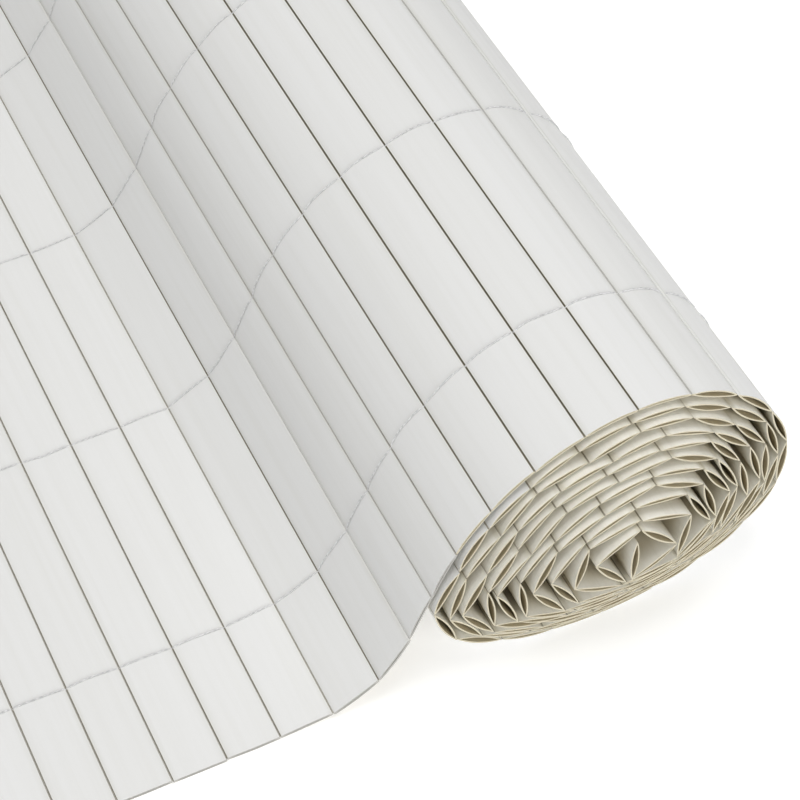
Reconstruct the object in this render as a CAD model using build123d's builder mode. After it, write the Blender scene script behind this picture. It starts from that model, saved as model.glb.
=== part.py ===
# PVC reed screening: a mat of hollow PVC slats tied side by side with rows of thread,
# rolled up from one end, with the other end laid out flat on the floor.
# Frame: the slats run along Y, the roll is at +X, the flat end at -X, and +Z is up.
import math
import os

from build123d import *

os.makedirs("parts", exist_ok=True)

# One slat: two thin walls that meet in a thin edge at each side, flat or bowed apart, with open ends
slat_length = 1000
slat_width = 18.0
closed_thickness = 1.4
open_thickness = 3.1
slat_wall = 0.5
edge_web = 1.2
edge_taper = 1.6
hollow_taper = 0.6

# The mat
slat_gap = 0.6
layer_gap = 0.8
bow_room = 1.2
hinge_room = 0.8
thread_rows = 10
thread_size = 0.6
thread_room = 0.05
thread_end = 160

# How it lies: a flat end, a bend upwards, a straight rise and the roll
free_length = 250
bend_radius = 44.3
leave_angle = 152.7
rolled_slats = 126
roll_nodes = 11
roll_lift = 0.36
telescope = 1.6
sharpest_turn = 135
open_lean = 38

# Outer turn of the roll: a mean radius with an oval and an egg-shaped part, in the roll's own angles
roll_radius = 56.4
oval_depth = 10.1
oval_lean = 13.2
egg_depth = 2.46
egg_lean = -35.5

# What follows from these sizes
slat_pitch = slat_width + slat_gap
layer_pitch = open_thickness + layer_gap
row_spacing = slat_length / thread_rows


def outer_turn(angle):
    """Middle line of the outer turn about the roll's axis, from its support function at an angle."""
    radius = roll_radius - layer_pitch * (leave_angle - angle) / 360
    oval = math.radians(2 * (angle - oval_lean))
    egg = math.radians(3 * (angle - egg_lean))
    reach = radius + oval_depth * math.cos(oval) + egg_depth * math.cos(egg)
    swing = -2 * oval_depth * math.sin(oval) - 3 * egg_depth * math.sin(egg)
    turned = math.radians(angle)
    x = reach * math.cos(turned) - swing * math.sin(turned)
    z = reach * math.sin(turned) + swing * math.cos(turned)
    return (x, z)


# The flat slats rest on their own faces and the roll on its lowest bowed slat. The straight slats of the roll
# lie a little inside its middle line.
roll_bottom = min(outer_turn(leave_angle - step)[1] for step in range(361))
bottom_radius = roll_radius + 3 * oval_depth * math.cos(math.radians(2 * oval_lean))
bottom_sag = slat_pitch * slat_pitch / 8 / bottom_radius
roll_height = roll_lift + closed_thickness / 2 - bottom_sag - roll_bottom
flat_height = closed_thickness / 2
leave_x = outer_turn(leave_angle)[0]
leave_z = outer_turn(leave_angle)[1] + roll_height
ahead = outer_turn(leave_angle - 0.01)
slope = math.atan2(ahead[1] + roll_height - leave_z, ahead[0] - leave_x)
rise_length = (leave_z - flat_height) / math.sin(slope) - bend_radius * math.tan(slope / 2)
bend_length = bend_radius * slope
bend_top_x = leave_x - rise_length * math.cos(slope)
bend_x = bend_top_x - bend_radius * math.sin(slope)


def sheet_point(travel):
    """Middle line of the sheet: millimetres before the roll (negative) or degrees along its outer turn."""
    if travel > 0:
        x, z = outer_turn(leave_angle - travel)
        return (x, z + roll_height)
    back = -travel
    if back < rise_length:
        return (leave_x - back * math.cos(slope), leave_z - back * math.sin(slope))
    if back < rise_length + bend_length:
        lean = slope - (back - rise_length) / bend_radius
        return (bend_x + bend_radius * math.sin(lean), flat_height + bend_radius * (1 - math.cos(lean)))
    return (bend_x - (back - rise_length - bend_length), flat_height)


def next_travel(travel, start):
    """Place further along the sheet that lies one slat pitch from a point."""
    near = travel
    far = travel + 2.2 * slat_pitch
    for _ in range(40):
        middle = (near + far) / 2
        if math.dist(sheet_point(middle), start) < slat_pitch:
            near = middle
        else:
            far = middle
    return far


def along(slat, share):
    """Point on a slat's middle line, at a share of its pitch."""
    x, z, angle = slat
    return (x + share * slat_pitch * math.cos(angle), z + share * slat_pitch * math.sin(angle))


def is_steep(slat):
    """True where a slat stands across the roll's long axis."""
    return abs(math.remainder(slat[2] - math.radians(oval_lean), math.pi)) > math.radians(open_lean)


def half_room(slat, share):
    """Half of the thickness that the roll keeps free for a slat, at a share of its pitch."""
    offset = min(1, abs(2 * share - 1) * slat_pitch / slat_width)
    thick = open_thickness if is_steep(slat) else closed_thickness + bow_room
    return thick / 2 * (1 - offset * offset)


def side(start, end, point):
    """Positive where a point lies to the left of a line."""
    return (end[0] - start[0]) * (point[1] - start[1]) - (end[1] - start[1]) * (point[0] - start[0])


def room(point, half, other):
    """Distance from a point with a half-thickness of its own to the face of a slat."""
    x, z, angle = other
    reach = (point[0] - x) * math.cos(angle) + (point[1] - z) * math.sin(angle)
    foot = max(0, min(1, reach / slat_pitch))
    return math.dist(point, along(other, foot)) - half - half_room(other, foot)


def clears(slat, other):
    """True where two slats keep the layer gap between their faces, with room for the next hinge."""
    start, end = along(slat, 0), along(slat, 1)
    low, high = along(other, 0), along(other, 1)
    if side(start, end, low) * side(start, end, high) < 0 and side(low, high, start) * side(low, high, end) < 0:
        return False
    for step in range(11):
        share = step / 10
        if room(along(slat, share), half_room(slat, share), other) < layer_gap:
            return False
        if room(along(other, share), half_room(other, share), slat) < layer_gap:
            return False
    return room(end, hinge_room, other) >= layer_gap


def fits(slat, laid):
    """True where a slat clears all the slats that were laid before the one it hinges on."""
    middle = along(slat, 0.5)
    for other in laid[:-1]:
        if math.dist(middle, along(other, 0.5)) < 1.4 * slat_pitch and not clears(slat, other):
            return False
    return True


# Each slat hinges on the last one. Up to the end of the outer turn it follows the sheet's middle line,
# and from there on it goes straight ahead. Then it turns in until it clears the slats outside it.
laid = []
wound = []
travel = -free_length
hinge = sheet_point(travel)
while len(laid) - wound.count(0) < rolled_slats:
    turned = max(0, travel)
    angle = laid[-1][2] if laid else 0
    if travel < 360:
        travel = next_travel(travel, hinge)
        end = sheet_point(travel)
        ahead = math.atan2(end[1] - hinge[1], end[0] - hinge[0])
        angle = angle + math.remainder(ahead - angle, math.tau)
    turn = 0
    while turn < sharpest_turn and not fits((*hinge, angle - math.radians(turn)), laid):
        turn = turn + 3
    if turn >= sharpest_turn:
        break
    tight = max(0, turn - 3)
    for _ in range(8):
        middle = (tight + turn) / 2
        if fits((*hinge, angle - math.radians(middle)), laid):
            turn = middle
        else:
            tight = middle
    if turned >= 360:
        turned = wound[-1] + turn
    laid.append((*hinge, angle - math.radians(turn)))
    wound.append(turned)
    hinge = along(laid[-1], 1)
free_slats = wound.count(0)


def thickness(slat, turned):
    """The slats at the roll's tight ends are bowed open, and all others are flat."""
    return open_thickness if turned > 0 and is_steep(slat) else closed_thickness


def face_point(slat, share, height):
    """Point above a slat's outer face, measured from its middle line."""
    x, z = along(slat, share)
    return (x - height * math.sin(slat[2]), z + height * math.cos(slat[2]))


def thread_line(lift):
    """Line over the outer faces of all slats that show: straight over flat ones, up and down over bowed ones."""
    shown = [(slat, thickness(slat, turned)) for slat, turned in zip(laid, wound) if turned < thread_end]
    line = [face_point(shown[0][0], 0.5, lift + closed_thickness / 2)]
    for (before, thick_before), (slat, thick) in zip(shown, shown[1:]):
        half_bend = (before[2] - slat[2]) / 2
        bowed = thick_before == open_thickness and thick == open_thickness
        rise = open_thickness / 8 if bowed else closed_thickness / 2
        line.append(face_point((slat[0], slat[1], slat[2] + half_bend), 0, (lift + rise) / math.cos(half_bend)))
        if thick == open_thickness:
            line.append(face_point(slat, 0.5, lift + open_thickness * 5 / 8))
    return line


thread_under = thread_line(thread_room)
thread_over = thread_line(thread_room + thread_size)

# The whole part is centred over the origin
left = laid[0][0] + slat_gap / 2
right = max(x for x, z in thread_over)
centre_x = (left + right) / 2
centre_y = -telescope * wound[-1] / 360 / 2

# A slat's place is its middle, slid out of the roll by as much as it is wound
places = []
for laid_slat, turned in zip(laid, wound):
    x, z = along(laid_slat, 0.5)
    slide = -telescope * turned / 360
    places.append(Location((x - centre_x, slide - centre_y, z), (0, -math.degrees(laid_slat[2]), 0)))


def flat_outline(half_width, half_height, taper):
    """Corners of a flat section whose edges taper to a point."""
    shoulder = half_width - taper
    upper = [(-half_width, 0), (-shoulder, half_height), (shoulder, half_height)]
    return upper + [(-x, -y) for x, y in upper]


hollow_width = slat_width / 2 - edge_web

# A flat slat, drawn across its length and pulled both ways
with BuildPart() as closed_slat:
    with BuildSketch(Plane.XZ):
        with BuildLine():
            Polyline(*flat_outline(slat_width / 2, closed_thickness / 2, edge_taper), close=True)
        make_face()
        with BuildLine():
            Polyline(*flat_outline(hollow_width, closed_thickness / 2 - slat_wall, hollow_taper), close=True)
        make_face(mode=Mode.SUBTRACT)
    extrude(amount=slat_length / 2, both=True)

# A slat that is bowed open
with BuildPart() as open_slat:
    with BuildSketch(Plane.XZ):
        with BuildLine():
            ThreePointArc((-slat_width / 2, 0), (0, open_thickness / 2), (slat_width / 2, 0))
            ThreePointArc((-slat_width / 2, 0), (0, -open_thickness / 2), (slat_width / 2, 0))
        make_face()
        with BuildLine():
            ThreePointArc((-hollow_width, 0), (0, open_thickness / 2 - slat_wall), (hollow_width, 0))
            ThreePointArc((-hollow_width, 0), (0, slat_wall - open_thickness / 2), (hollow_width, 0))
        make_face(mode=Mode.SUBTRACT)
    extrude(amount=slat_length / 2, both=True)

# Slats of the flat end and the rise, each by itself
for number in range(free_slats):
    name = f"slat_{number + 1:02d}"
    with BuildPart() as sheet_slat:
        with Locations(places[number]):
            add(closed_slat.part)
    sheet_slat.part.label = name
    export_step(sheet_slat.part, f"parts/{name}.step")

# Slats of the roll, in nodes that share its turns evenly
node_turn = (wound[-1] + 1) / roll_nodes
for turn in range(roll_nodes):
    name = f"roll_turn_{turn + 1:02d}"
    members = [i for i in range(free_slats, len(laid)) if int(wound[i] / node_turn) == turn]
    with BuildPart() as roll_turn:
        for i in members:
            with Locations(places[i]):
                add(open_slat.part if thickness(laid[i], wound[i]) == open_thickness else closed_slat.part)
    roll_turn.part.label = name
    export_step(roll_turn.part, f"parts/{name}.step")

# One thread to a row, from the first slat to where the outer turn goes out of sight
for row in range(thread_rows):
    name = f"binding_thread_{row + 1:02d}"
    row_y = (row + 0.5) * row_spacing - slat_length / 2 - centre_y
    with BuildPart() as binding_thread:
        with BuildSketch(Plane(origin=(-centre_x, row_y, 0), x_dir=(1, 0, 0), z_dir=(0, -1, 0))):
            with BuildLine():
                Polyline(*thread_under, *reversed(thread_over), close=True)
            make_face()
        extrude(amount=thread_size / 2, both=True)
    binding_thread.part.label = name
    export_step(binding_thread.part, f"parts/{name}.step")
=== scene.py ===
# PVC reed screening, partly rolled up: hollow white slats, the yarn that ties them, a pale floor
# and soft light.
import math
import random

import bmesh
import bpy
import numpy as np
from mathutils import Matrix, Vector


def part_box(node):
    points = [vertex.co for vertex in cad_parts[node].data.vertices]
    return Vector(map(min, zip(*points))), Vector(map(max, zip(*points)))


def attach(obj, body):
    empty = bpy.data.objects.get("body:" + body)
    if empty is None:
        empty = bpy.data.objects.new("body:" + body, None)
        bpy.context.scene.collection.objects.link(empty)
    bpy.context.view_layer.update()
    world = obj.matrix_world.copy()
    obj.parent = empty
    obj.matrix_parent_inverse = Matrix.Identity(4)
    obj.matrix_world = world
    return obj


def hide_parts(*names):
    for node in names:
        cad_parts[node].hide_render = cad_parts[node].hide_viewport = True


bl_info = {
    "name": "PVC reed screening",
    "version": (1, 0, 0),
    "blender": (4, 5, 0),
    "location": "View3D > Sidebar > Reed screening",
    "description": "Builds a partly rolled mat of hollow PVC slats and its yarn on the CAD frame",
    "category": "Add Mesh",
}

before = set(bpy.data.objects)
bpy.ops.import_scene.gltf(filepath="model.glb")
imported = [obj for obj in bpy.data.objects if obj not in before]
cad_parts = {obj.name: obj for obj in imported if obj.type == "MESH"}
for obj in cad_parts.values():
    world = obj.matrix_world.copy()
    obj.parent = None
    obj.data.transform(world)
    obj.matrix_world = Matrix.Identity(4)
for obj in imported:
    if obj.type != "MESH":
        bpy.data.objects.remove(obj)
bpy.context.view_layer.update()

# Points closer than this, in metres, are one
same_place = 1e-6


# The slats as the CAD frame lays them

class LaidSlat:
    """One slat of the frame: its node, its two edges seen along the slats, its ends and its
    thickness."""

    def __init__(self, node, start, end, near, far, thick):
        self.node = node
        self.start = start
        self.end = end
        self.near = near
        self.far = far
        self.thick = thick

    def turned_round(self):
        return LaidSlat(self.node, self.end, self.start, self.near, self.far, self.thick)

    @property
    def middle(self):
        return (self.start + self.end) / 2

    @property
    def across(self):
        return (self.end - self.start) / np.linalg.norm(self.end - self.start)

    @property
    def outward(self):
        return np.array((-self.across[1], self.across[0]))


def slats_of_node(name):
    """The separate slats of one CAD node, each with its two edges seen along the slats."""
    mesh = bmesh.new()
    mesh.from_mesh(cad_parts[name].data)
    bmesh.ops.remove_doubles(mesh, verts=mesh.verts, dist=same_place)
    seen = set()
    slats = []
    for first in mesh.verts:
        if first in seen:
            continue
        island = [first]
        seen.add(first)
        for vert in island:
            for edge in vert.link_edges:
                other = edge.other_vert(vert)
                if other not in seen:
                    seen.add(other)
                    island.append(other)
        points = np.array([vert.co for vert in island])
        near, far = points[:, 1].min(), points[:, 1].max()
        section = points[points[:, 1] < (near + far) / 2][:, (0, 2)]
        spread = np.linalg.norm(section[:, None] - section[None, :], axis=2)
        start, end = np.unravel_index(spread.argmax(), spread.shape)
        slat = LaidSlat(name, section[start], section[end], near, far, 0)
        slat.thick = float(np.ptp(section @ slat.outward))
        slats.append(slat)
    mesh.free()
    return slats


def lay_out():
    """All slats in the order of the mat, each running on from the one before."""
    names = sorted(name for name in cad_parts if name.startswith("slat_"))
    names += sorted(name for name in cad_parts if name.startswith("roll_turn_"))
    order = []
    for name in names:
        waiting = slats_of_node(name)
        waiting += [slat.turned_round() for slat in waiting]
        while waiting:
            if order:
                slat = min(waiting, key=lambda other: np.linalg.norm(other.start - order[-1].end))
            else:
                slat = min(waiting, key=lambda other: other.start[0])
            order.append(slat)
            waiting = [
                other for other in waiting
                if np.linalg.norm(other.middle - slat.middle) > same_place
            ]
    return order


laid = lay_out()
free_count = sum(1 for slat in laid if slat.node.startswith("slat_"))
slat_width = float(np.linalg.norm(laid[0].end - laid[0].start))
slat_gap = float(np.linalg.norm(laid[1].start - laid[0].end))
slat_pitch = slat_width + slat_gap
flat_thickness = laid[0].thick


# What a user would change

class ReedSlatSettings(bpy.types.PropertyGroup):
    """Shape and finish of the slats"""

    wall: bpy.props.FloatProperty(
        name="Wall", description="Thickness of a slat's walls",
        default=0.00050, unit="LENGTH", precision=5,
    )
    web: bpy.props.FloatProperty(
        name="Edge web", description="Solid width at each edge of a slat",
        default=0.0012, unit="LENGTH", precision=5,
    )
    unevenness: bpy.props.FloatProperty(
        name="Unevenness", description="How far slats differ from each other",
        default=1.0, min=0, max=1, subtype="FACTOR",
    )
    face_colour: bpy.props.FloatVectorProperty(
        name="Face colour", description="White of the slats' faces",
        default=(0.80, 0.80, 0.79), size=3, subtype="COLOR",
    )
    # Duller colour towards each slat's edges and in random smudges
    edge_dull_colour: bpy.props.FloatVectorProperty(
        name="Edge colour", description="Duller white along the slats' edges",
        default=(0.70, 0.695, 0.66), size=3, subtype="COLOR",
    )
    # Painted warm bounce light: the faces inside the roll and the slats' undersides take this
    # creamier copy of the face white
    back_bounce_colour: bpy.props.FloatVectorProperty(
        name="Back colour", description="Creamier white of the faces inside the roll",
        default=(0.87, 0.85, 0.775), size=3, subtype="COLOR",
    )
    # Painted shadow: the gap colour paints the shade of the narrow gaps as a thin olive line at
    # each slat's edge
    gap_shadow_colour: bpy.props.FloatVectorProperty(
        name="Gap colour", description="Olive of the thin edges in the gaps",
        default=(0.19, 0.165, 0.11), size=3, subtype="COLOR",
    )
    cut_colour: bpy.props.FloatVectorProperty(
        name="Cut colour", description="Cream of the rolled slats' sawn ends",
        default=(0.60, 0.56, 0.44), size=3, subtype="COLOR",
    )
    sawn_colour: bpy.props.FloatVectorProperty(
        name="Flat end colour", description="Grey of the unrolled slats' sawn ends",
        default=(0.47, 0.46, 0.43), size=3, subtype="COLOR",
    )
    # Partly the PVC's cream and partly painted shade: the inside of the hollow slats is made darker
    # and browner
    shaded_bore_colour: bpy.props.FloatVectorProperty(
        name="Bore colour", description="Cream inside the rolled slats",
        default=(0.49, 0.415, 0.26), size=3, subtype="COLOR",
    )
    roughness: bpy.props.FloatProperty(
        name="Roughness", description="Roughness of the slats' faces",
        default=0.54, min=0, max=1, subtype="FACTOR",
    )


class ReedYarnSettings(bpy.types.PropertyGroup):
    """Shape and finish of the yarn"""

    ply_size: bpy.props.FloatProperty(
        name="Ply", description="Thickness of one ply of the yarn",
        default=0.00033, unit="LENGTH", precision=5,
    )
    twist_length: bpy.props.FloatProperty(
        name="Twist", description="Length of one turn of the two plies",
        default=0.0030, unit="LENGTH", precision=5,
    )
    dip: bpy.props.FloatProperty(
        name="Dip", description="How far the yarn is pulled into the gaps",
        default=0.0005, unit="LENGTH", precision=5,
    )
    wander: bpy.props.FloatProperty(
        name="Wander", description="How far a row strays from its line",
        default=0.0005, unit="LENGTH", precision=5,
    )
    colour: bpy.props.FloatVectorProperty(
        name="Yarn colour", description="White of the yarn",
        default=(0.78, 0.78, 0.78), size=3, subtype="COLOR",
    )


class ReedStageSettings(bpy.types.PropertyGroup):
    """Floor, light and camera"""

    floor_colour: bpy.props.FloatVectorProperty(
        name="Floor colour", description="Pale floor",
        default=(0.76, 0.76, 0.755), size=3, subtype="COLOR",
    )
    sky: bpy.props.FloatProperty(
        name="Sky", description="Strength of the even light", default=0.43, min=0,
    )
    shade: bpy.props.FloatProperty(
        name="Shade side", description="Strength of the even light from the roll's far side",
        default=0.10, min=0,
    )
    key: bpy.props.FloatProperty(
        name="Key", description="Power of the soft key light", default=19.8, unit="POWER",
    )
    fill: bpy.props.FloatProperty(
        name="Fill", description="Power of the light on the cut ends", default=15.0, unit="POWER",
    )
    far_fill: bpy.props.FloatProperty(
        name="Far fill", description="Power of the light on the far ends",
        default=4.5, unit="POWER",
    )
    glow: bpy.props.FloatProperty(
        name="Floor glow", description="Light that the floor gives back", default=0.40, min=0,
    )
    camera_place: bpy.props.FloatVectorProperty(
        name="Camera place", description="Where the camera stands",
        default=(-0.1372, -0.9736, 0.6943), size=3, subtype="TRANSLATION",
    )
    camera_swing: bpy.props.FloatProperty(
        name="Swing", description="Camera's angle about the upright",
        default=math.radians(-20.46), subtype="ANGLE",
    )
    camera_rise: bpy.props.FloatProperty(
        name="Rise", description="Camera's angle above the floor",
        default=math.radians(47.34), subtype="ANGLE",
    )
    camera_roll: bpy.props.FloatProperty(
        name="Roll", description="Camera's tilt about its own line of sight",
        default=math.radians(-5.19), subtype="ANGLE",
    )
    lens: bpy.props.FloatProperty(
        name="Lens", description="Focal length for a 36 mm frame", default=118.98, unit="CAMERA",
    )


class ReedSettings(bpy.types.PropertyGroup):
    """All that a user would change"""

    slats: bpy.props.PointerProperty(
        type=ReedSlatSettings, name="Slats", description="Shape and finish of the slats",
    )
    yarn: bpy.props.PointerProperty(
        type=ReedYarnSettings, name="Yarn", description="Shape and finish of the yarn",
    )
    stage: bpy.props.PointerProperty(
        type=ReedStageSettings, name="Stage", description="Floor, light and camera",
    )


# Materials

# Each slat takes one unit of its map across, and reaches this far to either side of the middle
map_middle = 0.5
map_reach = 0.225
# Shares of that map over which a face grows duller and its thin edge is painted dark with the
# shadow of the gap
dull_border = (0.17, map_reach)
gap_shadow_edge = (0.2236, 0.2249)
# How far in from a slat's ends the painted shade has its full share, how much of the ends stays
# unshaded, both in metres, and that share on the faces inside the roll
shade_depth = 0.009
unshaded_end = 0.001
back_shade_share = 0.64
# How much one slat's tone can differ, and how much the fine grain adds to the die lines
tone_share = 0.16
grain_share = 0.25
# Depths of the die's and the saw's marks and of the yarn's fibres, in metres
die_mark = 0.00006
saw_mark = 0.00008
fibre_mark = 0.00006
# What is left of a colour where it is darker
sawn_shade = 0.7
# The yarn's darker stretches are painted shade between its twisted plies
yarn_shade = 0.6
mottle_shade = 0.985
# Where each finish of a slat stands in its list
face_index, cut_index, bore_index, back_index, sawn_index = range(5)
# The sockets that hold the two ranges of a map range node
range_sockets = ("From Min", "From Max", "To Min", "To Max")


def darker(colour, share):
    return tuple(part * share for part in colour)


class Finish:
    """A new material with short ways to add and join its nodes."""

    def __init__(self, name):
        self.material = bpy.data.materials.new(name)
        self.material.use_nodes = True
        self.tree = self.material.node_tree
        self.shader = self.tree.nodes["Principled BSDF"]

    def node(self, kind, **values):
        made = self.tree.nodes.new(kind)
        for name, value in values.items():
            setattr(made, name, value)
        return made

    def join(self, source, target):
        self.tree.links.new(source, target)

    def place(self, stretch):
        """The slat's own place, across and along, stretched."""
        place = self.node("ShaderNodeUVMap", uv_map="slat_place")
        scaled = self.node("ShaderNodeVectorMath", operation="MULTIPLY")
        scaled.inputs[1].default_value = stretch
        self.join(place.outputs["UV"], scaled.inputs[0])
        return scaled.outputs[0]

    def noise(self, stretch, detail, rough):
        made = self.node("ShaderNodeTexNoise")
        made.inputs["Scale"].default_value = 1.0
        made.inputs["Detail"].default_value = detail
        made.inputs["Roughness"].default_value = rough
        self.join(self.place(stretch), made.inputs["Vector"])
        return made.outputs["Fac"]

    def sums(self, operation, first, second=0):
        made = self.node("ShaderNodeMath", operation=operation)
        for socket, value in zip(made.inputs, (first, second)):
            if isinstance(value, (int, float)):
                socket.default_value = value
            else:
                self.join(value, socket)
        return made.outputs[0]

    def spread(self, value, source, target):
        """A value eased from one range to another."""
        made = self.node("ShaderNodeMapRange", interpolation_type="SMOOTHSTEP")
        self.join(value, made.inputs["Value"])
        for name, number in zip(range_sockets, (*source, *target)):
            made.inputs[name].default_value = number
        return made.outputs["Result"]

    def blend(self, share, first, second):
        made = self.node("ShaderNodeMix", data_type="RGBA")
        self.join(share, made.inputs["Factor"])
        for socket, value in ((made.inputs[6], first), (made.inputs[7], second)):
            if isinstance(value, bpy.types.NodeSocket):
                self.join(value, socket)
            else:
                socket.default_value = (*value, 1)
        return made.outputs[2]

    def parts(self):
        """The slat's own place as its parts across and along."""
        made = self.node("ShaderNodeSeparateXYZ")
        self.join(self.place((1, 1, 1)), made.inputs[0])
        return made.outputs["X"], made.outputs["Y"]

    def inside(self, most):
        """Share of painted shade that grows from nothing at the slat's ends to the most at its full
        depth.
        """
        along = self.sums("ABSOLUTE", self.parts()[1])
        end = (laid[0].far - laid[0].near) / 2
        return self.spread(along, (end - shade_depth, end - unshaded_end), (most, 0.0))

    def bump(self, height, strength, depth):
        made = self.node("ShaderNodeBump")
        made.inputs["Strength"].default_value = strength
        made.inputs["Distance"].default_value = depth
        self.join(height, made.inputs["Height"])
        self.join(made.outputs["Normal"], self.shader.inputs["Normal"])


def slat_face_finish(name, settings, face_colour, edge_dull_colour, inner_shade):
    """Satin PVC with die lines along the slat, a tone of its own for each slat, duller borders and
    thin edges painted dark as the shadow of the gaps. Painted shade can gather away from the slat's
    ends."""
    finish = Finish(name)
    shader = finish.shader.inputs
    place = finish.parts()[0]
    tone = finish.node("ShaderNodeTexWhiteNoise", noise_dimensions="1D")
    finish.join(finish.sums("FLOOR", place), tone.inputs["W"])
    across = finish.sums("SUBTRACT", finish.sums("FRACT", place), map_middle)
    across = finish.sums("ABSOLUTE", across)
    smudges = finish.noise((14, 9, 1), detail=5, rough=0.6)
    streaks = finish.noise((420, 1.6, 1), detail=3, rough=0.5)
    border = finish.spread(across, dull_border, (0.0, 0.85))
    border = finish.sums("MULTIPLY", border, finish.spread(smudges, (0.3, 0.7), (0.35, 1.0)))
    dull = finish.spread(smudges, (0.35, 0.75), (0.0, 0.22))
    dull = finish.sums("ADD", dull, finish.sums("MULTIPLY", tone.outputs["Value"], tone_share))
    dull = finish.sums("ADD", dull, finish.spread(streaks, (0.45, 0.8), (0.0, 0.12)))
    colour = finish.blend(border, finish.blend(dull, face_colour, edge_dull_colour), edge_dull_colour)
    # Painted shade: faces inside the roll darken towards the bore colour away from the slat's ends
    if inner_shade:
        colour = finish.blend(finish.inside(inner_shade), colour, settings.shaded_bore_colour)
    # Painted shadow of the gap, as a thin olive line at the slat's edge
    thin = finish.spread(across, gap_shadow_edge, (0.0, 1.0))
    finish.join(finish.blend(thin, colour, settings.gap_shadow_colour), shader["Base Color"])
    rough = finish.spread(streaks, (0.3, 0.7), (-0.05, 0.06))
    rough = finish.sums("ADD", rough, settings.roughness)
    rough = finish.sums("ADD", rough, finish.spread(smudges, (0.3, 0.8), (-0.03, 0.07)))
    finish.join(rough, shader["Roughness"])
    shader["IOR"].default_value = 1.53
    shader["Specular IOR Level"].default_value = 0.25
    grain = finish.noise((2200, 700, 1), detail=2, rough=0.5)
    height = finish.sums("ADD", streaks, finish.sums("MULTIPLY", grain, grain_share))
    finish.bump(height, strength=0.22, depth=die_mark)
    return finish.material


def slat_cut_finish(name, clean_colour, dusty_colour):
    """Sawn PVC, with saw marks across the ends and a little dust."""
    finish = Finish(name)
    shader = finish.shader.inputs
    marks = finish.noise((600, 3000, 1), detail=4, rough=0.6)
    dust = finish.noise((60, 40, 1), detail=4, rough=0.6)
    sawn = finish.spread(marks, (0.35, 0.7), (0.0, 0.35))
    share = finish.sums("ADD", sawn, finish.spread(dust, (0.4, 0.75), (0.0, 0.5)))
    finish.join(finish.blend(share, clean_colour, dusty_colour), shader["Base Color"])
    finish.join(finish.spread(marks, (0.3, 0.7), (0.58, 0.8)), shader["Roughness"])
    finish.bump(marks, strength=0.35, depth=saw_mark)
    return finish.material


def slat_bore_finish(name, settings):
    """Duller cream inside the slats, darkened as painted shade of the hollow, with the draw lines
    of the die.
    """
    finish = Finish(name)
    shader = finish.shader.inputs
    streaks = finish.noise((300, 2, 1), detail=3, rough=0.5)
    dust = finish.noise((20, 25, 1), detail=4, rough=0.6)
    drawn = finish.spread(streaks, (0.3, 0.75), (0.0, 0.3))
    share = finish.sums("ADD", drawn, finish.spread(dust, (0.4, 0.75), (0.0, 0.35)))
    colour = finish.blend(share, settings.shaded_bore_colour, settings.cut_colour)
    finish.join(colour, shader["Base Color"])
    finish.join(finish.spread(streaks, (0.3, 0.7), (0.5, 0.66)), shader["Roughness"])
    finish.bump(streaks, strength=0.25, depth=die_mark)
    return finish.material


def yarn_finish(settings):
    """Matte white twisted yarn with fine fibres along each ply and short darker stretches painted
    as the shade between its plies.
    """
    finish = Finish("binding_yarn_white")
    shader = finish.shader.inputs
    fibres = finish.noise((16, 900, 1), detail=4, rough=0.65)
    groove_shade = finish.noise((1, 650, 1), detail=1, rough=0.5)
    fuzz = finish.spread(fibres, (0.4, 0.7), (0.0, 0.25))
    share = finish.sums("ADD", fuzz, finish.spread(groove_shade, (0.42, 0.58), (0.0, 0.75)))
    shade = darker(settings.colour, yarn_shade)
    finish.join(finish.blend(share, settings.colour, shade), shader["Base Color"])
    finish.join(finish.spread(fibres, (0.3, 0.7), (0.78, 0.95)), shader["Roughness"])
    shader["Sheen Weight"].default_value = 0.25
    shader["Sheen Roughness"].default_value = 0.5
    finish.bump(fibres, strength=0.5, depth=fibre_mark)
    return finish.material


def floor_finish(settings):
    """Pale matte floor with a hardly visible mottle."""
    finish = Finish("pale_floor")
    shader = finish.shader.inputs
    place = finish.node("ShaderNodeTexCoord")
    mottle = finish.node("ShaderNodeTexNoise")
    mottle.inputs["Scale"].default_value = 3.0
    finish.join(place.outputs["Object"], mottle.inputs["Vector"])
    soft = darker(settings.floor_colour, mottle_shade)
    colour = finish.blend(mottle.outputs["Fac"], settings.floor_colour, soft)
    finish.join(colour, shader["Base Color"])
    shader["Roughness"].default_value = 0.9
    shader["Specular IOR Level"].default_value = 0.1
    shader["Emission Color"].default_value = (1, 1, 1, 1)
    shader["Emission Strength"].default_value = settings.glow
    return finish.material


# Meshes

# Lengths are in metres. A name that ends in start holds where a change starts and over how much it
# comes in. A name that ends in range holds the least and the most.
outer_turn = "roll_turn_01"
sharp_angle = math.radians(50)

# A lens with a lower fullness is boxier, and its points crowd more towards its edges
crowding_base = 0.25
crowding_slope = 0.8

# Slats this many times as thick as a flat one are bowed open, and any slat can be a share thinner
opened_from = 1.3
thinner_by = 0.08

# Slats of the flat end, the rise and the start of the outer turn: as their middle gets higher they
# are first cupped and fuller, then arched
sheet_count = free_count + 8
cup_start = (0.0025, 0.005)
cup_depth = 0.0004
cup_swell = 0.3
arch_start = (0.012, 0.03)
arch_range = (0.0007, 0.0009)
sheet_fullness = 0.12
raised_fullness = 0.13

# Slats bowed open, and those of them that face up on the outer turn
opened_fullness = 0.9
top_lean = 0.5
top_fullness = 0.7
top_bow = 0.0006

# Closed slats of the roll, and those of them that would come too close to the floor
wound_bow_range = (0.0004, 0.0007)
wound_swell_range = (1.15, 1.45)
wound_fullness = 0.8
floor_room = 0.0006
pressed_fullness = 0.3

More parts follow.
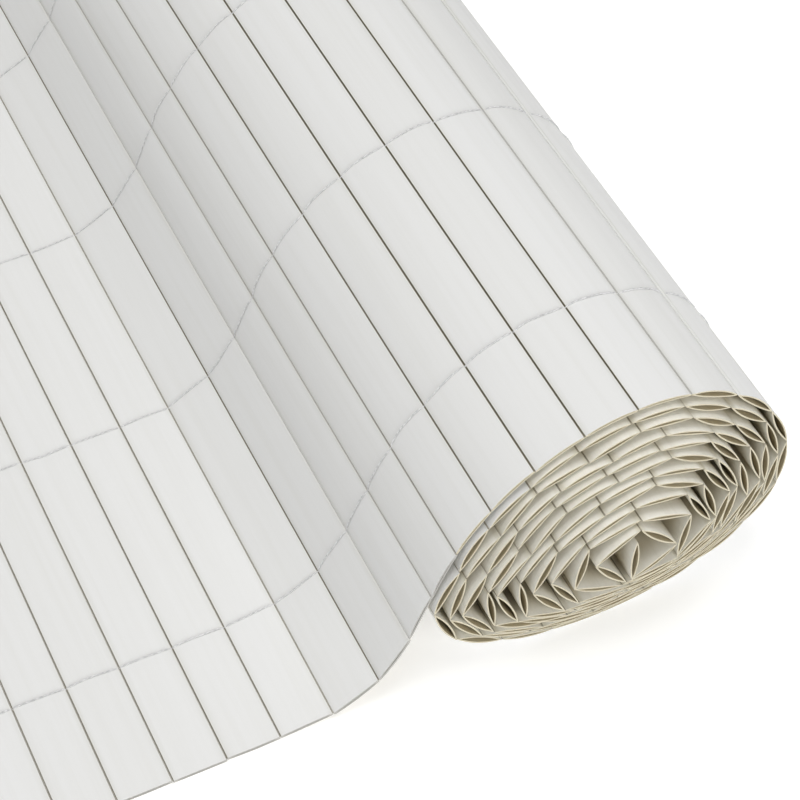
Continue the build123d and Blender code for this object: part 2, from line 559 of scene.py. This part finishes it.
# How closely edges sit, by the lean of the slats in the rise and on the roll's far side, and by the
# bend between two slats of the rise. The same share takes the painted gap shadow off those edges,
# for the lighter lines where the light falls on the rise and the far side
rise_start = (0.58, 0.2)
far_start = (-0.03, 0.6)
straight_seat = 0.5
bend_seat = 0.7
seat_range = (0.1, 0.9)

# How far edges reach into a gap as a share of it, what a close seat adds, how much of the painted
# gap shadow it takes off the map, and from where across a slat its edge is drawn out
gap_reach = 0.405
seat_reach = 0.028
shade_lift_map = 0.0018
reach_start = (0.8, 0.2)

# The lip of a slat's first edge, the lean from which a slat has one, and where across it starts
lip_height = 0.0004
lip_lean = 0.4
lip_start = (0.9, 0.09)

# Half the hollow of an unrolled slat, as a share of the slat's thickness, and what is added to a
# slat's fullness for its hollow
closed_hollow = 0.1
hollow_fullness = 0.1

# The most unevenness of a slat: the shift of its hollow, the sway along its length, with its angle
# in radians, and the slant and shortness of its ends
most_shift = 0.00005
most_sway = 0.00004
sway_turn = 5.0
most_slant = 0.02
most_short = 0.0005

# The yarn's line: its points to a slat, the width and the depths of a dip, and rounds of smoothing
yarn_points = 49
dip_width = 0.0010
dip_range = (0.75, 1.15)
smooth_rounds = 3

# The yarn's twist: its height and the swing of a ply as shares of a ply, the turn of a ply about
# itself to a turn of the yarn, the steps to a turn, how loose it can be and over how many half
# pitches, and the width of a ply's map
yarn_height = 0.95
ply_swing = 0.44
ply_turn = 0.5
twist_steps = 10
loose_range = (0.85, 1.15)
loose_spacing = 0.37
ply_map = 3

# The factor and the start of the seed for each kind of draw, and what is added for a back row
look_seed = (7, 3)
section_seed = (5, 1)
slat_seed = (11, 7)
front_seed = (31, 5)
back_seed = (31, 11)
twist_seed = (17, 1)
back_row = 50


def seed_of(number, kind):
    return number * kind[0] + kind[1]


def come_in(value, change):
    """Share from 0 to 1 of a change that starts at a value and comes in over a length."""
    start, length = change
    return np.clip((value - start) / length, 0, 1)


def new_piece(name, points, faces, places, finishes, finish_of_face, smooth):
    """An object from points and faces, with the slat's own place as its map."""
    mesh = bpy.data.meshes.new(name)
    mesh.from_pydata(points, [], faces)
    for finish in finishes:
        mesh.materials.append(finish)
    mesh.polygons.foreach_set("material_index", finish_of_face)
    mesh.polygons.foreach_set("use_smooth", smooth)
    corner_points = np.empty(len(mesh.loops), dtype=np.int32)
    mesh.loops.foreach_get("vertex_index", corner_points)
    layer = mesh.uv_layers.new(name="slat_place")
    layer.data.foreach_set("uv", np.asarray(places, dtype=np.float32)[corner_points].ravel())
    mesh.validate()
    mesh.update()
    mesh.set_sharp_from_angle(angle=sharp_angle)
    piece = bpy.data.objects.new(name, mesh)
    bpy.context.scene.collection.objects.link(piece)
    return piece


def lens_loop(half_width, half_height, steps, fullness):
    """Closed loop of a lens with rounded edges, from one edge over the outer face and back."""
    crowding = min(1.0, crowding_base + crowding_slope * fullness)
    loop = []
    for step in range(2 * steps):
        share = -math.cos(math.pi * step / steps)
        share = math.copysign(abs(share) ** crowding, share)
        height = half_height * max(0.0, 1 - share * share) ** fullness
        loop.append((half_width * share, height if step < steps else -height))
    return np.array(loop)


def slat_look(number, settings):
    """What sets one slat apart: its thickness, its section's fullness and its bow."""
    luck = random.Random(seed_of(number, look_seed))
    slat = laid[number]
    on_outer_turn = slat.node == outer_turn
    opened = slat.thick > opened_from * flat_thickness
    thick = slat.thick * (1 - settings.unevenness * luck.uniform(0.0, thinner_by))
    on_sheet = number < free_count or on_outer_turn and number < sheet_count
    if on_sheet and not opened and slat.outward[1] > 0:
        raised = come_in(slat.middle[1], cup_start)
        arched = come_in(slat.middle[1], arch_start)
        cupped = raised * (1 - arched)
        bow = arched * luck.uniform(*arch_range) - cup_depth * cupped
        fullness = sheet_fullness + raised_fullness * raised
        return thick * (1 + cup_swell * cupped), fullness, bow
    if opened and on_outer_turn and slat.outward[1] > top_lean:
        return thick, top_fullness, top_bow
    if opened:
        return thick, opened_fullness, 0.0
    bow = luck.uniform(*wound_bow_range)
    full = thick * luck.uniform(*wound_swell_range)
    if slat.middle[1] + slat.outward[1] * (bow + full / 2) < floor_room:
        return thick, pressed_fullness, 0.0
    return full, wound_fullness, bow


def edge_seat_and_shade_lift(number, step):
    """How closely a slat's edge sits against the next, from 0 to 1: up the rise, and down the
    roll's far side. The same share takes the painted gap shadow off that edge."""
    other = number + step
    if other < 0 or other >= len(laid):
        return 0.0
    first, second = (laid[number], laid[other]) if step > 0 else (laid[other], laid[number])
    bend = first.across[0] * second.across[1] - first.across[1] * second.across[0]
    away = (first.outward[0] + second.outward[0]) / 2
    rising = come_in(-away, rise_start) * np.clip(straight_seat + bend_seat * bend, *seat_range)
    return float(max(rising, come_in(away, far_start)))


def edge_reach(number, step):
    """How far a slat's edge reaches into a gap."""
    if number + step < 0 or number + step >= len(laid):
        return 0.0
    return slat_gap * (gap_reach + seat_reach * edge_seat_and_shade_lift(number, step))


def edge_lip(number):
    """How far a slat's first edge stands above the slat before it, where the outer turn goes down
    the far side."""
    slat = laid[number]
    on_far_side = slat.outward[0] > lip_lean and slat.outward[1] > 0
    return lip_height if slat.node == outer_turn and on_far_side else 0.0


def slat_loops(number, settings, steps):
    """Outer and inner loop of a slat's section, across it and out from its middle line."""
    thick, fullness, bow = slat_look(number, settings)
    luck = random.Random(seed_of(number, section_seed))
    outer = lens_loop(slat_width / 2, thick / 2, steps, fullness)
    hollow = thick / 2 - settings.wall if number >= free_count else closed_hollow * thick
    inner_fullness = min(1.0, fullness + hollow_fullness)
    inner = lens_loop(slat_width / 2 - settings.web, hollow, steps, inner_fullness)
    inner[:, 1] += settings.unevenness * luck.uniform(-most_shift, most_shift)
    for loop in (outer, inner):
        share = loop[:, 0] / (slat_width / 2)
        loop[:, 1] += bow * (1 - share * share)
        loop[:, 1] += edge_lip(number) * come_in(-share, lip_start) * (loop[:, 1] > 0)
        reach = np.where(share < 0, edge_reach(number, -1), edge_reach(number, 1))
        loop[:, 0] += np.sign(share) * reach * come_in(np.abs(share), reach_start)
    return outer, inner


def slat_mesh(slat, number, settings, steps=18, rings=9):
    """Points, faces, finishes and places of one hollow slat."""
    luck = random.Random(seed_of(number, slat_seed))
    uneven = settings.unevenness
    outer, inner = slat_loops(number, settings, steps)
    sway = uneven * luck.uniform(-most_sway, most_sway)
    phase = luck.uniform(0, math.tau)
    slant = uneven * luck.uniform(0, most_slant)
    short = uneven * luck.uniform(0, most_short)
    length = slat.far - slat.near
    unrolled = number < free_count
    # Faces inside the roll and all undersides take the back finish, a copy of the face finish with
    # painted warm bounce light and painted shade
    front = face_index if unrolled or slat.node == outer_turn else back_index
    cut, bore = (sawn_index, sawn_index) if unrolled else (cut_index, bore_index)
    # Share of each edge's painted gap shadow that is taken off, by stopping the map short of the
    # dark edge
    shade_lift = np.where(outer[:, 0] < 0, edge_seat_and_shade_lift(number, -1), edge_seat_and_shade_lift(number, 1))
    border = map_reach - shade_lift_map * shade_lift
    points, places = [], []
    for ring in range(rings):
        share = ring / (rings - 1)
        along = slat.near + short + (length - 2 * short) * share
        swing = sway * math.sin(phase + sway_turn * share) * math.sin(math.pi * share)
        middle = slat.middle + slat.across * swing
        for loop in (outer, inner):
            flat = middle + loop[:, :1] * slat.across + loop[:, 1:] * slat.outward
            end_slant = {0: slant, rings - 1: -slant}.get(ring, 0) * np.abs(loop[:, 0])
            points.append(np.column_stack((flat[:, 0], along + end_slant, flat[:, 1])))
            across = np.clip(loop[:, 0] / slat_width * 2 * map_reach, -border, border)
            from_middle = np.full(len(loop), along - (slat.near + slat.far) / 2)
            places.append(np.column_stack((number + map_middle + across, from_middle)))
    count = 2 * steps
    faces, finish_of_face, smooth = [], [], []
    for ring in range(rings - 1):
        for layer in (0, 1):
            low = (2 * ring + layer) * count
            high = low + 2 * count
            for step in range(count):
                after = (step + 1) % count
                corners = (low + step, low + after, high + after, high + step)
                faces.append(corners if layer == 0 else corners[::-1])
                outer_finish = front if step < steps else back_index
                finish_of_face.append(bore if layer else outer_finish)
                smooth.append(True)
    for ring in (0, rings - 1):
        low = 2 * ring * count
        for step in range(count):
            after = (step + 1) % count
            corners = (low + step, low + count + step, low + count + after, low + after)
            faces.append(corners if ring == 0 else corners[::-1])
            finish_of_face.append(cut)
            smooth.append(False)
    return np.vstack(points), faces, np.vstack(places), finish_of_face, smooth


def slat_piece(name, node, settings, finishes):
    """One object for all slats of a CAD node, in the node's place."""
    points, faces, places, finish_of_face, smooth = [], [], [], [], []
    first = 0
    for number, slat in enumerate(laid):
        if slat.node != node:
            continue
        made = slat_mesh(slat, number, settings)
        points.append(made[0])
        faces += [tuple(corner + first for corner in face) for face in made[1]]
        places.append(made[2])
        finish_of_face += made[3]
        smooth += made[4]
        first += len(made[0])
    points, places = np.vstack(points), np.vstack(places)
    piece = new_piece(name, points, faces, places, finishes, finish_of_face, smooth)
    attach(piece, "root")
    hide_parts(node)


def slat_finishes(settings):
    """The five finishes of a slat in the order of their numbers, made once."""
    names = (
        "slat_face_white_pvc", "slat_cut_cream_pvc", "slat_bore_cream_pvc", "slat_back_cream_pvc",
        "slat_cut_white_pvc",
    )
    made = [bpy.data.materials.get(name) for name in names]
    if all(made):
        return made
    white, edge_dull, cream = settings.face_colour, settings.edge_dull_colour, settings.back_bounce_colour
    cut, bore, sawn = settings.cut_colour, settings.shaded_bore_colour, settings.sawn_colour
    return [
        slat_face_finish(names[face_index], settings, white, edge_dull, 0),
        slat_cut_finish(names[cut_index], cut, bore),
        slat_bore_finish(names[bore_index], settings),
        slat_face_finish(names[back_index], settings, cream, cut, back_shade_share),
        slat_cut_finish(names[sawn_index], sawn, darker(sawn, sawn_shade)),
    ]


def yarn_line(numbers, side, slat_settings, settings, row):
    """Middle line of a yarn over one face of some slats, pulled into each gap, as points seen along
    the slats."""
    luck = random.Random(seed_of(row, front_seed if side > 0 else back_seed))
    above = settings.ply_size * yarn_height
    line = []
    for number in numbers:
        slat = laid[number]
        thick, fullness, bow = slat_look(number, slat_settings)
        dips = (luck.uniform(*dip_range), luck.uniform(*dip_range))
        for step in range(yarn_points):
            reach = slat_pitch * (step / yarn_points - 0.5)
            if number == 0 and reach < settings.ply_size - slat_width / 2:
                continue
            share = min(1.0, abs(2 * reach / slat_width))
            rest = 1 - share * share
            height = thick / 2 * rest ** fullness + side * bow * rest + above
            before = (reach + slat_pitch / 2) / dip_width
            after = (slat_pitch / 2 - reach) / dip_width
            pulled = dips[0] * math.exp(-before * before) + dips[1] * math.exp(-after * after)
            height -= settings.dip * pulled
            line.append(slat.middle + slat.across * reach + slat.outward * height * side)
    line = np.array(line)
    for _ in range(smooth_rounds):
        line[1:-1] = (line[:-2] + 2 * line[1:-1] + line[2:]) / 4
    return line


def even_line(line, step):
    """The same line with points at even steps, and its directions."""
    run = np.concatenate(((0,), np.cumsum(np.linalg.norm(np.diff(line, axis=0), axis=1))))
    count = int(run[-1] / step)
    places = np.linspace(0, run[-1], count)
    points = np.column_stack([np.interp(places, run, line[:, axis]) for axis in (0, 1)])
    ahead = np.gradient(points, axis=0)
    ahead /= np.linalg.norm(ahead, axis=1)[:, None]
    return points, ahead, places


def twisted_yarn(line, row_y, settings, row, sides=6):
    """Points, faces and places of a two-ply yarn along a line."""
    luck = np.random.default_rng(seed_of(row, twist_seed))
    points, ahead, run = even_line(line, settings.twist_length / twist_steps)
    outward = np.column_stack((-ahead[:, 1], ahead[:, 0]))
    knots = np.arange(0, run[-1] + slat_pitch, slat_pitch / 2)
    stray = np.interp(run, knots, luck.uniform(-1, 1, len(knots))) * settings.wander
    loose = np.interp(run, knots * loose_spacing, luck.uniform(*loose_range, len(knots)))
    turns = np.full(len(run), math.tau / twist_steps) * loose
    angle = np.cumsum(turns) + luck.uniform(0, math.tau)
    verts, places, faces = [], [], []
    first = 0
    count = len(run)
    swing = settings.ply_size * ply_swing
    for ply in (0, math.pi):
        out = swing * np.cos(angle + ply)
        aside = swing * np.sin(angle + ply)
        for corner in range(sides):
            turn = math.tau * corner / sides + angle * ply_turn
            lift = out + settings.ply_size / 2 * np.cos(turn)
            slide = aside + settings.ply_size / 2 * np.sin(turn)
            flat = points + outward * lift[:, None]
            verts.append(np.column_stack((flat[:, 0], row_y + stray + slide, flat[:, 1])))
            places.append(np.column_stack((np.full(count, corner / sides * ply_map + ply), run)))
        for corner in range(sides):
            low = first + corner * count
            high = first + (corner + 1) % sides * count
            faces += [(low + i, high + i, high + i + 1, low + i + 1) for i in range(count - 1)]
        faces.append([first + corner * count for corner in reversed(range(sides))])
        faces.append([first + corner * count + count - 1 for corner in range(sides)])
        first += sides * count
    return np.vstack(verts), faces, np.vstack(places)


# The stage

# The floor's size, its corners and how far it lies below the slats, and how far the camera sees
floor_radius = 8
floor_corners = 96
floor_drop = 0.0002
sight = 50
# Width of the camera's frame in millimetres
frame_width = 36
# The even light fades as a direction's part along X goes from the first value to the second
sky_fade = (0.35, 0.95)
# Place, aim and size of each light, which takes its power from the setting of the same name
lights = {
    "key_light": ((0.06, -0.40, 2.1), (0.06, -0.2, 0), 1.4),
    "fill_light": ((0.35, -2.0, 0.75), (0.1, -0.5, 0.04), 1.0),
    "far_fill_light": ((0.1, 2.2, 0.5), (0.1, 0.5, 0.04), 1.0),
}


# Operators

class REED_OT_free_slats(bpy.types.Operator):
    """Builds the slats of the flat end and the rise, one object to a slat"""

    bl_idname = "reed.free_slats"
    bl_label = "Unrolled slats"

    def execute(self, context):
        settings = context.scene.reed.slats
        finishes = slat_finishes(settings)
        nodes = sorted({slat.node for slat in laid[:free_count]})
        if not nodes:
            raise RuntimeError("The frame has no unrolled slats")
        for node in nodes:
            slat_piece(node.replace("slat_", "screen_slat_"), node, settings, finishes)
        return {"FINISHED"}


class REED_OT_wound_slats(bpy.types.Operator):
    """Builds the slats of the roll, one object to a turn"""

    bl_idname = "reed.wound_slats"
    bl_label = "Rolled slats"

    def execute(self, context):
        settings = context.scene.reed.slats
        finishes = slat_finishes(settings)
        nodes = sorted({slat.node for slat in laid[free_count:]})
        if not nodes:
            raise RuntimeError("The frame has no rolled slats")
        for node in nodes:
            slat_piece(node.replace("roll_turn_", "wound_turn_"), node, settings, finishes)
        return {"FINISHED"}


class REED_OT_binding_yarn(bpy.types.Operator):
    """Builds the rows of twisted yarn that tie the slats, as far as they show"""

    bl_idname = "reed.binding_yarn"
    bl_label = "Binding yarn"

    def execute(self, context):
        settings = context.scene.reed.yarn
        finish = yarn_finish(settings)
        nodes = sorted(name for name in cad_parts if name.startswith("binding_thread_"))
        if not nodes:
            raise RuntimeError("The frame has no binding threads")
        slat_settings = context.scene.reed.slats
        # The outer yarn stops where the roll's underside leaves no room for it above the floor. The
        # back of the mat has yarn only where the unrolled slats are off the floor.
        room = 2 * settings.ply_size
        lows = [min(slat.start[1], slat.end[1]) - slat.thick / 2 for slat in laid]
        shown = []
        for number, slat in enumerate(laid):
            if slat.outward[1] < 0 and lows[number] < room:
                break
            shown.append(number)
        lifted = [number for number in range(free_count) if lows[number] > room]
        for row, node in enumerate(nodes):
            low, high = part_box(node)
            row_y = (low[1] + high[1]) / 2
            over = yarn_line(shown, 1, slat_settings, settings, row)
            under = yarn_line(lifted, -1, slat_settings, settings, row)
            front = twisted_yarn(over, row_y, settings, row)
            back = twisted_yarn(under, row_y, settings, row + back_row)
            first = len(front[0])
            faces = front[1] + [tuple(corner + first for corner in face) for face in back[1]]
            points = np.vstack((front[0], back[0]))
            places = np.vstack((front[2], back[2]))
            name = node.replace("binding_thread_", "yarn_row_")
            count = len(faces)
            piece = new_piece(name, points, faces, places, [finish], [0] * count, [True] * count)
            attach(piece, "root")
            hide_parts(node)
        return {"FINISHED"}


class REED_OT_stage(bpy.types.Operator):
    """Sets the pale floor, the soft light and the camera"""

    bl_idname = "reed.stage"
    bl_label = "Stage"

    def soft_light(self, name, place, aim, size, power):
        light = bpy.data.lights.new(name, "AREA")
        light.shape = "DISK"
        light.size = size
        light.energy = power
        lamp = bpy.data.objects.new(name, light)
        lamp.location = place
        way = Vector(aim) - Vector(place)
        lamp.rotation_euler = way.to_track_quat("-Z", "Y").to_euler()
        bpy.context.scene.collection.objects.link(lamp)

    def floor(self, scene, settings):
        rim = []
        for corner in range(floor_corners):
            turn = math.tau * corner / floor_corners
            rim.append((floor_radius * math.cos(turn), floor_radius * math.sin(turn), -floor_drop))
        mesh = bpy.data.meshes.new("floor")
        mesh.from_pydata(rim, [], [list(range(floor_corners))])
        mesh.materials.append(floor_finish(settings))
        floor = bpy.data.objects.new("floor", mesh)
        scene.collection.objects.link(floor)

    def even_light(self, scene, settings):
        """White light from all round that fades towards the roll's far side."""
        world = bpy.data.worlds.new("even_light")
        world.use_nodes = True
        tree = world.node_tree
        background = tree.nodes["Background"].inputs
        background["Color"].default_value = (1.0, 1.0, 1.0, 1)
        way = tree.nodes.new("ShaderNodeTexCoord")
        parts = tree.nodes.new("ShaderNodeSeparateXYZ")
        tree.links.new(way.outputs["Generated"], parts.inputs[0])
        fade = tree.nodes.new("ShaderNodeMapRange")
        tree.links.new(parts.outputs["X"], fade.inputs["Value"])
        for name, number in zip(range_sockets, (*sky_fade, settings.sky, settings.shade)):
            fade.inputs[name].default_value = number
        tree.links.new(fade.outputs["Result"], background["Strength"])
        scene.world = world

    def camera(self, scene, settings):
        camera = bpy.data.cameras.new("camera")
        camera.lens = settings.lens
        camera.sensor_width = frame_width
        camera.clip_end = sight
        viewer = bpy.data.objects.new("camera", camera)
        rise, swing, roll = settings.camera_rise, settings.camera_swing, settings.camera_roll
        level = math.cos(rise)
        back = Vector((math.sin(swing) * level, -math.cos(swing) * level, math.sin(rise)))
        right = (-back).cross(Vector((0, 0, 1))).normalized()
        up = right.cross(-back)
        tilted_right = right * math.cos(roll) + up * math.sin(roll)
        tilted_up = up * math.cos(roll) - right * math.sin(roll)
        turned = Matrix((tilted_right, tilted_up, back)).transposed().to_4x4()
        viewer.matrix_world = Matrix.Translation(settings.camera_place) @ turned
        scene.collection.objects.link(viewer)
        scene.camera = viewer

    def execute(self, context):
        scene = context.scene
        settings = scene.reed.stage
        self.floor(scene, settings)
        self.even_light(scene, settings)
        for name, (place, aim, size) in lights.items():
            power = getattr(settings, name.removesuffix("_light"))
            self.soft_light(name, place, aim, size, power)
        scene.view_settings.view_transform = "Standard"
        self.camera(scene, settings)
        return {"FINISHED"}


class REED_PT_panel(bpy.types.Panel):
    """Sizes, colours and steps of the reed screening"""

    bl_label = "Reed screening"
    bl_idname = "REED_PT_panel"
    bl_space_type = "VIEW_3D"
    bl_region_type = "UI"
    bl_category = "Reed screening"

    def draw(self, context):
        reed = context.scene.reed
        for group, steps in (
            (reed.slats, ("reed.free_slats", "reed.wound_slats")),
            (reed.yarn, ("reed.binding_yarn",)),
            (reed.stage, ("reed.stage",)),
        ):
            box = self.layout.box()
            for name in group.__annotations__:
                box.prop(group, name)
            for step in steps:
                box.operator(step)


classes = (
    ReedSlatSettings,
    ReedYarnSettings,
    ReedStageSettings,
    ReedSettings,
    REED_OT_free_slats,
    REED_OT_wound_slats,
    REED_OT_binding_yarn,
    REED_OT_stage,
    REED_PT_panel,
)


def register():
    for item in classes:
        bpy.utils.register_class(item)
    bpy.types.Scene.reed = bpy.props.PointerProperty(type=ReedSettings)


def unregister():
    del bpy.types.Scene.reed
    for item in reversed(classes):
        bpy.utils.unregister_class(item)


def main():
    register()
    bpy.ops.reed.free_slats()
    bpy.ops.reed.wound_slats()
    bpy.ops.reed.binding_yarn()
    bpy.ops.reed.stage()


if __name__ == "__main__":
    main()
